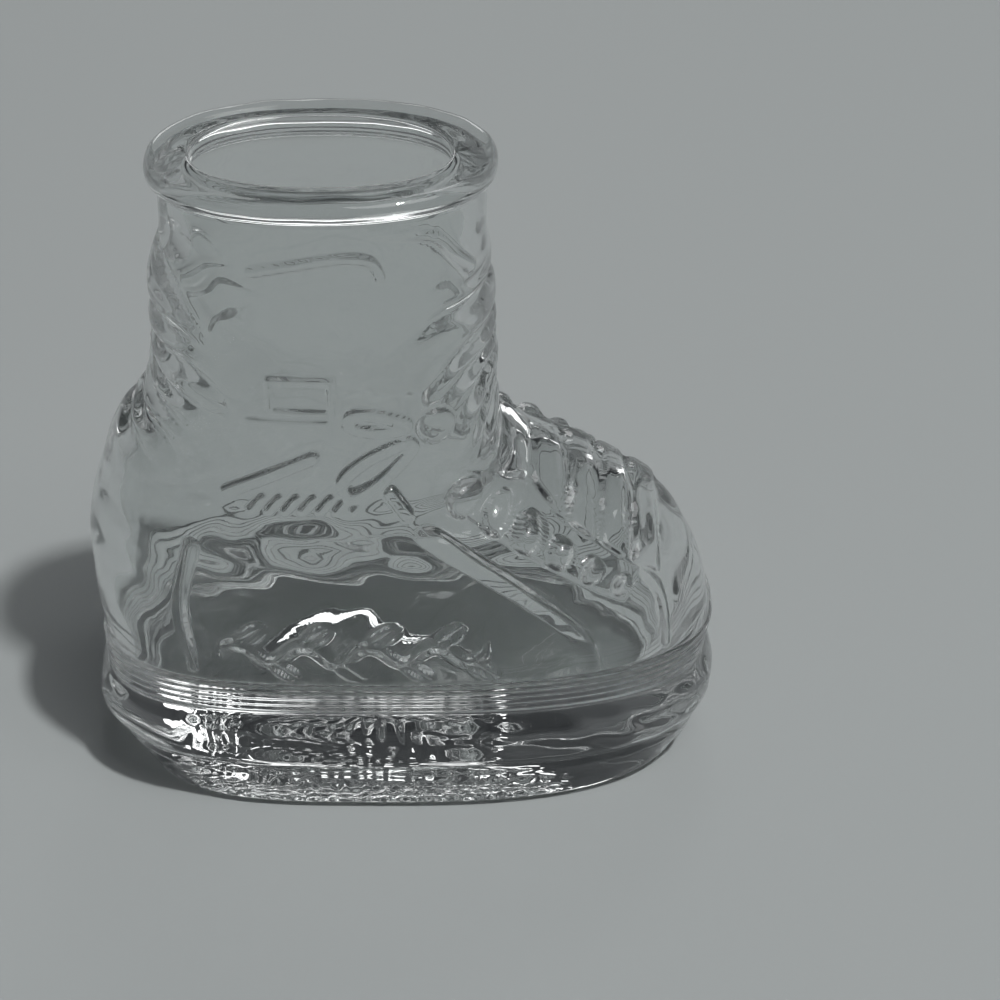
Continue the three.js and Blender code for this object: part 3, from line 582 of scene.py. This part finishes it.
def eyestays():
    """A strip with round studs on each side."""
    far_end = eye_length + EYESTAY_OVERRUN
    strip = smooth(-EYESTAY_HALF, -EYESTAY_HALF + EYESTAY_EDGE, eye_off)
    strip *= smooth(*EYESTAY_LACE_EDGE, eye_off - lace_foot)
    strip *= smooth(-EYESTAY_OVERRUN, -EYESTAY_OVERRUN + EYESTAY_END, eye_along)
    strip *= smooth(far_end, far_end - EYESTAY_END, eye_along)
    found = [EYESTAY_HEIGHT * strip]
    for share in np.linspace(0, 1, EYELETS):
        gap = np.hypot(eye_along - eye_length * share, eye_off) / between(EYELET_RADIUS, share)
        found.append((SEAT + EYELET_HEIGHT) * np.sqrt(np.clip(1 - gap ** 2, 0, 1)))
    return found


def loop_path(length, width, fall):
    """A closed loop of the bow that runs back from the knot and is narrower beside it."""
    a = math.radians(180 + fall)
    ahead = np.array([math.cos(a), math.sin(a)])
    aside = np.array([-ahead[1], ahead[0]])
    middle = np.array(KNOT) + ahead * (KNOT_RADIUS + LOOP_TO_KNOT + length / 2)
    turn = np.linspace(0, 2 * math.pi, LOOP_STEPS + 1)
    c, s = np.cos(turn), np.sin(turn)
    reach = (np.abs(c) ** LOOP_SQUARENESS + np.abs(s) ** LOOP_SQUARENESS) ** (-1 / LOOP_SQUARENESS)
    broad = LOOP_TAPER + (1 - LOOP_TAPER) * smooth(-1, 0.2, c * reach)
    along = (length / 2 - CORD_HALF) * c * reach
    side = (width / 2 - CORD_HALF) * broad * s * reach
    return middle + along[:, None] * ahead + side[:, None] * aside


def bow():
    """Knot, two loops and two loose ends on the near side."""
    knot = dome(np.hypot(X - KNOT[0], RISE - KNOT[1]), KNOT_RADIUS)
    found = [(SEAT + KNOT_HEIGHT) * knot * near_side]
    cords = [(loop_path(*loop), 2 * LOOP_STEPS) for loop in (LONG_LOOP, SHORT_LOOP)]
    cords += [(end, STRAIGHT_SAMPLES) for end in (LONG_END, SHORT_END)]
    for path, samples in cords:
        cord = flat_top(from_path(path, X, RISE, samples), CORD_HALF + CORD_SPREAD, CORD_EDGE)
        found.append(CORD_RAISE * cord * near_side)
    return found


def seams():
    """Seams of the vamp, the heel and the toe cap.

    The vamp seam is a lapped edge: steep towards the laces and a long slope down to the heel side.
    """
    on_sides = smooth(*SEAM_SIDES, np.abs(Y))
    lap = from_path(VAMP_SEAM, X, RISE, signed=True)
    lapped = smooth(SEAM_HALF, SEAM_HALF - SEAM_EDGE, lap)
    lapped *= np.clip((lap + SEAM_HALF + SEAM_FOOT) / (2 * SEAM_HALF + SEAM_FOOT - SEAM_EDGE), 0, 1)
    return [
        (SEAT + SEAM_HEIGHT) * lapped * on_sides * smooth(*SEAM_TOP, RISE),
        HEEL_SEAM_RAISE * dome(from_path(HEEL_SEAM, X, RISE), HEEL_SEAM_HALF) * on_sides,
        TOE_SEAM_RAISE * dome(from_path(TOE_SEAM, X, RISE), TOE_SEAM_HALF)]


def vine():
    """A wavy stem low on the near side, with a leaf on each crest and in each hollow.

    The stem is highest along its upper edge and slopes down from there, and a leaf has two such slopes.
    """
    run = (X - VINE_FROM_X) / VINE_WAVE
    tilt = 2 * math.pi * VINE_AMPLITUDE / VINE_WAVE * np.cos(2 * math.pi * run)
    height = (RISE - VINE_RISE - VINE_AMPLITUDE * np.sin(2 * math.pi * run)) / np.sqrt(1 + tilt ** 2)
    ends = smooth(*VINE_END, run) * smooth(*VINE_END, VINE_WAVES - run)
    found = [(SEAT + VINE_HEIGHT) * slope_down(height, VINE_HALF) * near_side * ends]
    quarter = LEAF_WIDTH / 4
    for k in range(VINE_WAVES * 2):
        up = 1 if k % 2 == 0 else -1
        a = up * math.radians(LEAF_TURN)
        dx = X - VINE_FROM_X - VINE_WAVE * (k + 0.5) / 2 - math.cos(a) * LEAF_LENGTH / 2
        dz = RISE - VINE_RISE - up * VINE_AMPLITUDE - math.sin(a) * LEAF_LENGTH / 2
        along = dx * math.cos(a) + dz * math.sin(a)
        side = dz * math.cos(a) - dx * math.sin(a)
        leaf = flat_top(np.hypot(along / (LEAF_LENGTH / 2), side / (LEAF_WIDTH / 2)), *LEAF_OUTLINE)
        blades = np.maximum(slope_down(side - quarter, quarter), slope_down(side + quarter, quarter))
        found.append((SEAT + LEAF_HEIGHT) * leaf * blades * near_side)
    return found


def trim():
    """Near side: lines under the collar, the frame of a bare tab, a line under it, a row of stitches."""
    found = []
    for path in COLLAR_LINES:
        line = flat_top(from_path(path, X, RISE), COLLAR_LINE_HALF, COLLAR_LINE_EDGE)
        found.append(COLLAR_LINE_RAISE * line * near_side)
    tab = np.maximum(np.abs(X - TAB[0]) - TAB_HALF_LENGTH, np.abs(RISE - TAB[1]) - TAB_HALF_HEIGHT)
    found.append(TRIM_RAISE * flat_top(tab, TAB_FRAME_HALF, TRIM_EDGE) * near_side)
    past_end = np.maximum(np.abs(X - TAB_LINE[0]) - TAB_LINE_HALF_LENGTH, 0)
    strokes = [np.hypot(past_end, RISE - TAB_LINE[1])]
    for k in range(STITCHES):
        x = STITCH_FROM_X + STITCH_PITCH * k
        stitch = ((x - STITCH_LEAN, STITCH_RISE[0]), (x + STITCH_LEAN, STITCH_RISE[1]))
        strokes.append(from_path(stitch, X, RISE, STRAIGHT_SAMPLES))
    return found + [TRIM_RAISE * flat_top(stroke, TRIM_HALF, TRIM_EDGE) * near_side for stroke in strokes]


def folds():
    """Round rolls at the ankle with narrow valleys between them, running out round the sides."""
    found = np.zeros_like(X)
    ends = ((HEEL_FOLDS, from_heel, HEEL_FOLD), (FRONT_FOLDS, from_toe, FRONT_FOLD))
    for lines, distance, (depth, reach) in ends:
        for line in lines:
            near = np.clip(from_path(line, distance, RISE, FOLD_SAMPLES) / reach, 0, 1)
            last = line[-1][0]
            run_out = smooth(*FOLD_RUN_OUT, distance - last)
            share = FOLD_END_SHARE + (1 - FOLD_END_SHARE) * run_out
            np.minimum(found, -depth * (1 - near) ** 2 * share, out=found)
    return found


def raised_upper():
    """The outside with its relief, its folds and slow waves of the glass."""
    relief = np.maximum.reduce(laces() + eyestays() + bow() + seams() + vine() + trim())
    wave = (np.sin(X * 0.31 + Z * 0.23 + 1.0) * np.sin(Z * 0.37 - X * 0.11 + Y * 0.2)
            + 0.6 * np.sin(X * 0.57 - Z * 0.41 + Y * 0.3))
    on_boot = smooth(0.0, OUTER_FADE[0], RISE) * smooth(0.0, OUTER_FADE[1], boot_rise - RISE)
    lip_wave = LIP_WAVE * np.sin(0.8 * X + 0.5 * np.sin(0.6 * Y)) * np.cos(0.7 * Y - 0.3 * X)
    lift = (relief + folds() + OUTER_WAVE * wave) * on_boot
    lift += lip_wave * smooth(boot_top, boot_top + LIP_FADE, Z)
    return upper + upper_out * lift[..., None]


def stippled_base():
    """The base with a stipple pressed up into its underside and slow waves round its side."""
    slices, spread_out = base_slices()
    base, _, _, out = grid(slices, FAR // 2, NEAR // 2)
    x, y, z = base[..., 0], base[..., 1], base[..., 2]
    stipple = np.zeros_like(x)
    for k, length in enumerate(np.linspace(*STIPPLE_LENGTH, STIPPLE_WAVES)):
        turn = STIPPLE_TURN * k
        run = (x * math.cos(turn) + y * math.sin(turn)) / length
        stipple += np.cos(2 * math.pi * run + STIPPLE_SHIFT * k) / STIPPLE_WAVES
    # It lies along the near edge, in a patch at the heel and, weaker, in the hollow panel
    set_in, end = BEARING_STIPPLE
    on_bearing = smooth(*set_in, spread_out) * smooth(*end, spread_out)
    near_edge = smooth(*NEAR_STIPPLE_Y, y) * smooth(*NEAR_STIPPLE_X, x)
    heel_patch = smooth(*HEEL_STIPPLE_LENGTH, np.abs(x - HEEL_STIPPLE[0]))
    heel_patch *= smooth(*HEEL_STIPPLE_WIDTH, np.abs(y - HEEL_STIPPLE[1]))
    panel_end = PANEL_RINGS + SLOPE_RINGS
    ring = np.arange(len(slices))[:, None]
    in_panel = PANEL_STIPPLE * smooth(panel_end, panel_end - PANEL_FADE_RINGS, ring)
    share = np.maximum(on_bearing * np.maximum(near_edge, heel_patch), in_panel)
    base[..., 2] += STIPPLE_DEPTH * (1 - stipple) * share
    sway = np.sin(0.55 * x + 1.1 * z + 0.6 * y) * np.sin(0.31 * x - 0.7 * z + 0.4 * y)
    sway *= smooth(0.0, SOLE_FADE, z - SOLE_EDGE_RADIUS) * smooth(0.0, SOLE_FADE, SOLE_HEIGHT - z)
    return base + out * (SOLE_WAVE * sway)[..., None]


def wavy_inner():
    """The inside with slow waves of the glass and lenses on the near side."""
    inner, _, _, out = grid(inner_slices(), FAR // 2, NEAR // 2)
    x, y, z = inner[..., 0], inner[..., 1], inner[..., 2]
    wave = (np.sin(x * 0.21 - z * 0.17 + 0.5) * np.sin(z * 0.26 + x * 0.15 + y * 0.25)
            + 0.7 * np.sin(x * 0.33 + z * 0.29 - y * 0.18 + 2.0))
    ripple = np.sin(x * 0.9 + 1.5 * np.sin(z * 0.4)) * np.sin(z * 0.8 - x * 0.3)
    lift = INNER_WAVE * wave + INNER_RIPPLE * ripple
    on_near = smooth(*LENS_SIDE, y)
    for at, rise, long, tall, swell in PLUNGER_LENSES:
        lift += swell * np.exp(-((x - at) / long) ** 2 - ((z - welt_top - rise) / tall) ** 2) * on_near
    lift *= smooth(0.0, INNER_FADE[0], z - welt_top) * smooth(0.0, INNER_FADE[1], boot_top - z)
    return inner + out * lift[..., None]


def ring_faces(first, rows, around):
    """Quads between the rings of one block of points."""
    i = first + np.arange(rows - 1)[:, None] * around
    j = np.arange(around)[None, :]
    k = (j + 1) % around
    return np.stack([i + j, i + k, i + around + k, i + around + j], -1).reshape(-1, 4).tolist()


def joining_faces(coarse, fine, fine_above):
    """Triangles between a coarse ring and one with twice its points."""
    found = []
    for n in range(COARSE):
        a, b, c = fine + 2 * n, fine + 2 * n + 1, fine + (2 * n + 2) % AROUND
        d, e = coarse + n, coarse + (n + 1) % COARSE
        three = [(a, b, d), (b, e, d), (b, c, e)]
        found += [t[::-1] for t in three] if fine_above else three
    return found


def glass_mesh():
    """One closed mesh of the base, the outside and the inside."""
    blocks = (stippled_base(), raised_upper(), wavy_inner())
    base_rows, upper_rows, inner_rows = (len(block) for block in blocks)
    upper_first = base_rows * COARSE
    inner_first = upper_first + upper_rows * AROUND
    end = inner_first + (inner_rows - 1) * COARSE
    faces = ring_faces(0, base_rows, COARSE)
    faces += joining_faces(upper_first - COARSE, upper_first, True)
    faces += ring_faces(upper_first, upper_rows, AROUND)
    faces += joining_faces(inner_first, inner_first - AROUND, False)
    faces += ring_faces(inner_first, inner_rows, COARSE)
    faces.append(tuple(range(COARSE - 1, -1, -1)))
    faces.append(tuple(range(end, end + COARSE)))
    verts = np.concatenate([block.reshape(-1, 3) for block in blocks]) * MM
    mesh = bpy.data.meshes.new("glass_boot")
    mesh.from_pydata(verts.tolist(), [], faces)
    mesh.polygons.foreach_set("use_smooth", [True] * len(mesh.polygons))
    mesh.update()
    return mesh


def map_range(nodes, from_min, from_max, to_min=0.0, to_max=1.0):
    node = nodes.new("ShaderNodeMapRange")
    node.inputs["From Min"].default_value = from_min
    node.inputs["From Max"].default_value = from_max
    node.inputs["To Min"].default_value = to_min
    node.inputs["To Max"].default_value = to_max
    return node


GLASS_COLOUR = (0.885, 0.903, 0.898, 1)
GLASS_IOR = 1.51
GLASS_ROUGHNESS = 0.035  # where its polish is poorest
RIPPLE_DEPTH = 0.0003


def glass_material():
    """Clear glass with a faint uneven polish and a slight ripple."""
    m = bpy.data.materials.new("clear_glass")
    m.use_nodes = True
    nodes, links = m.node_tree.nodes, m.node_tree.links
    shader = nodes["Principled BSDF"]
    shader.inputs["Base Color"].default_value = GLASS_COLOUR
    shader.inputs["Transmission Weight"].default_value = 1.0
    shader.inputs["IOR"].default_value = GLASS_IOR
    place = nodes.new("ShaderNodeTexCoord")

    def noise(scale, detail):
        node = nodes.new("ShaderNodeTexNoise")
        node.inputs["Scale"].default_value = scale
        node.inputs["Detail"].default_value = detail
        links.new(place.outputs["Object"], node.inputs["Vector"])
        return node.outputs["Fac"]

    polish = map_range(nodes, 0.35, 0.75, 0.0, GLASS_ROUGHNESS)
    links.new(noise(scale=260.0, detail=3.0), polish.inputs["Value"])
    links.new(polish.outputs["Result"], shader.inputs["Roughness"])
    bump = nodes.new("ShaderNodeBump")
    bump.inputs["Strength"].default_value = 0.25
    bump.inputs["Distance"].default_value = RIPPLE_DEPTH
    links.new(noise(scale=150.0, detail=2.0), bump.inputs["Height"])
    links.new(bump.outputs["Normal"], shader.inputs["Normal"])
    return m


glass_boot = bpy.data.objects.new("glass_boot", glass_mesh())
bpy.context.scene.collection.objects.link(glass_boot)
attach(glass_boot, "root")
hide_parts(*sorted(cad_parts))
glass_boot.data.materials.append(glass_material())

# The studio, in metres from here on
FLOOR_REACH = 6.0
FLOOR_Z = -0.0002
FLOOR_COLOUR = (0.345, 0.366, 0.366, 1)
SKY_TILT = (0.0, -0.35, 1.0)
SKY_SPAN = (-0.4, 1.06)
HORIZON_BAND = (0.05, 0.17)  # the pale band fades out between these heights
HORIZON_COLOUR = (0.30, 0.31, 0.315, 1)
BEHIND_COLOUR = (0.022, 0.024, 0.026, 1)
# Sky colours from behind the glass, low down, to the top and the front
SKY = (
    (0.10, HORIZON_COLOUR), (0.22, BEHIND_COLOUR), (0.47, BEHIND_COLOUR),
    (0.66, (0.065, 0.068, 0.071, 1)), (0.96, (0.13, 0.135, 0.14, 1)))
LAMPS_AIM = Vector((0, 0, 0.03))
LIGHT_BOUNCES = 40


def plain_floor():
    sides = ((-1, -1), (1, -1), (1, 1), (-1, 1))
    corners = [(x * FLOOR_REACH, y * FLOOR_REACH, FLOOR_Z) for x, y in sides]
    mesh = bpy.data.meshes.new("floor")
    mesh.from_pydata(corners, [], [(0, 1, 2, 3)])
    paint = bpy.data.materials.new("floor_paint")
    paint.use_nodes = True
    shader = paint.node_tree.nodes["Principled BSDF"]
    shader.inputs["Base Color"].default_value = FLOOR_COLOUR
    shader.inputs["Roughness"].default_value = 0.7
    mesh.materials.append(paint)
    floor = bpy.data.objects.new("floor", mesh)
    bpy.context.scene.collection.objects.link(floor)
    return floor


def studio_world():
    """A soft sky, brighter above and in front, dark behind, with a pale band low down all round."""
    world = bpy.data.worlds.new("studio")
    world.use_nodes = True
    bpy.context.scene.world = world
    nodes, links = world.node_tree.nodes, world.node_tree.links
    coord = nodes.new("ShaderNodeTexCoord")
    tilt = nodes.new("ShaderNodeVectorMath")
    tilt.operation = "DOT_PRODUCT"
    tilt.inputs[1].default_value = SKY_TILT
    links.new(coord.outputs["Generated"], tilt.inputs[0])
    spread = map_range(nodes, *SKY_SPAN)
    links.new(tilt.outputs["Value"], spread.inputs["Value"])
    ramp = nodes.new("ShaderNodeValToRGB")
    stops = ramp.color_ramp.elements
    for stop, (position, colour) in zip((stops[0], stops[1]), (SKY[0], SKY[-1])):
        stop.position = position
        stop.color = colour
    for position, colour in SKY[1:-1]:
        stops.new(position).color = colour
    links.new(spread.outputs["Result"], ramp.inputs["Fac"])
    place = nodes.new("ShaderNodeSeparateXYZ")
    links.new(coord.outputs["Generated"], place.inputs["Vector"])
    low = map_range(nodes, *HORIZON_BAND, 1.0, 0.0)
    links.new(place.outputs["Z"], low.inputs["Value"])
    horizon = nodes.new("ShaderNodeMixRGB")
    horizon.inputs["Color2"].default_value = HORIZON_COLOUR
    links.new(low.outputs["Result"], horizon.inputs["Fac"])
    links.new(ramp.outputs["Color"], horizon.inputs["Color1"])
    links.new(horizon.outputs["Color"], nodes["Background"].inputs["Color"])
    nodes["Background"].inputs["Strength"].default_value = 1.0


def lamp(name, place, size, power, tall=None):
    """A disk lamp, or a strip where its height is given, turned to the glass."""
    data = bpy.data.lights.new(name, "AREA")
    data.shape = "RECTANGLE" if tall else "DISK"
    data.size = size
    data.size_y = tall or size
    data.energy = power
    ob = bpy.data.objects.new(name, data)
    ob.location = place
    ob.rotation_euler = (LAMPS_AIM - Vector(place)).to_track_quat("-Z", "Y").to_euler()
    bpy.context.scene.collection.objects.link(ob)


plain_floor()
studio_world()
lamp("key", (0.84, -0.66, 2.34), 0.16, 42.0)
lamp("soft_key", (0.86, -0.68, 2.40), 1.5, 15.5)
lamp("back", (0.12, 1.2, 1.5), 0.5, 1.4)
lamp("low_back", (-0.25, 1.9, 0.5), 1.1, 2.0, tall=0.3)

# Camera, fitted to the photograph's frame: it stands in front of the glass and looks down at it
YAW, PITCH = math.radians(-0.5), math.radians(35.07)
EYE_SIDE, EYE_BACK, EYE_HEIGHT = 0.0110, 0.2256, 0.1897
camera = bpy.data.cameras.new("camera")
camera.sensor_width = 36.0
camera.lens = 86.4
eye = bpy.data.objects.new("camera", camera)
eye.location = (
    EYE_SIDE * math.cos(YAW) - EYE_BACK * math.sin(YAW),
    -EYE_BACK * math.cos(YAW) - EYE_SIDE * math.sin(YAW),
    EYE_HEIGHT)
look = Vector((math.sin(YAW) * math.cos(PITCH), math.cos(YAW) * math.cos(PITCH), -math.sin(PITCH)))
eye.rotation_euler = look.to_track_quat("-Z", "Y").to_euler()
bpy.context.scene.collection.objects.link(eye)
bpy.context.scene.camera = eye
bpy.context.scene.view_settings.view_transform = "Standard"
# Light is led a long way inside thick glass
paths = bpy.context.scene.cycles
paths.max_bounces = paths.glossy_bounces = paths.transmission_bounces = LIGHT_BOUNCES
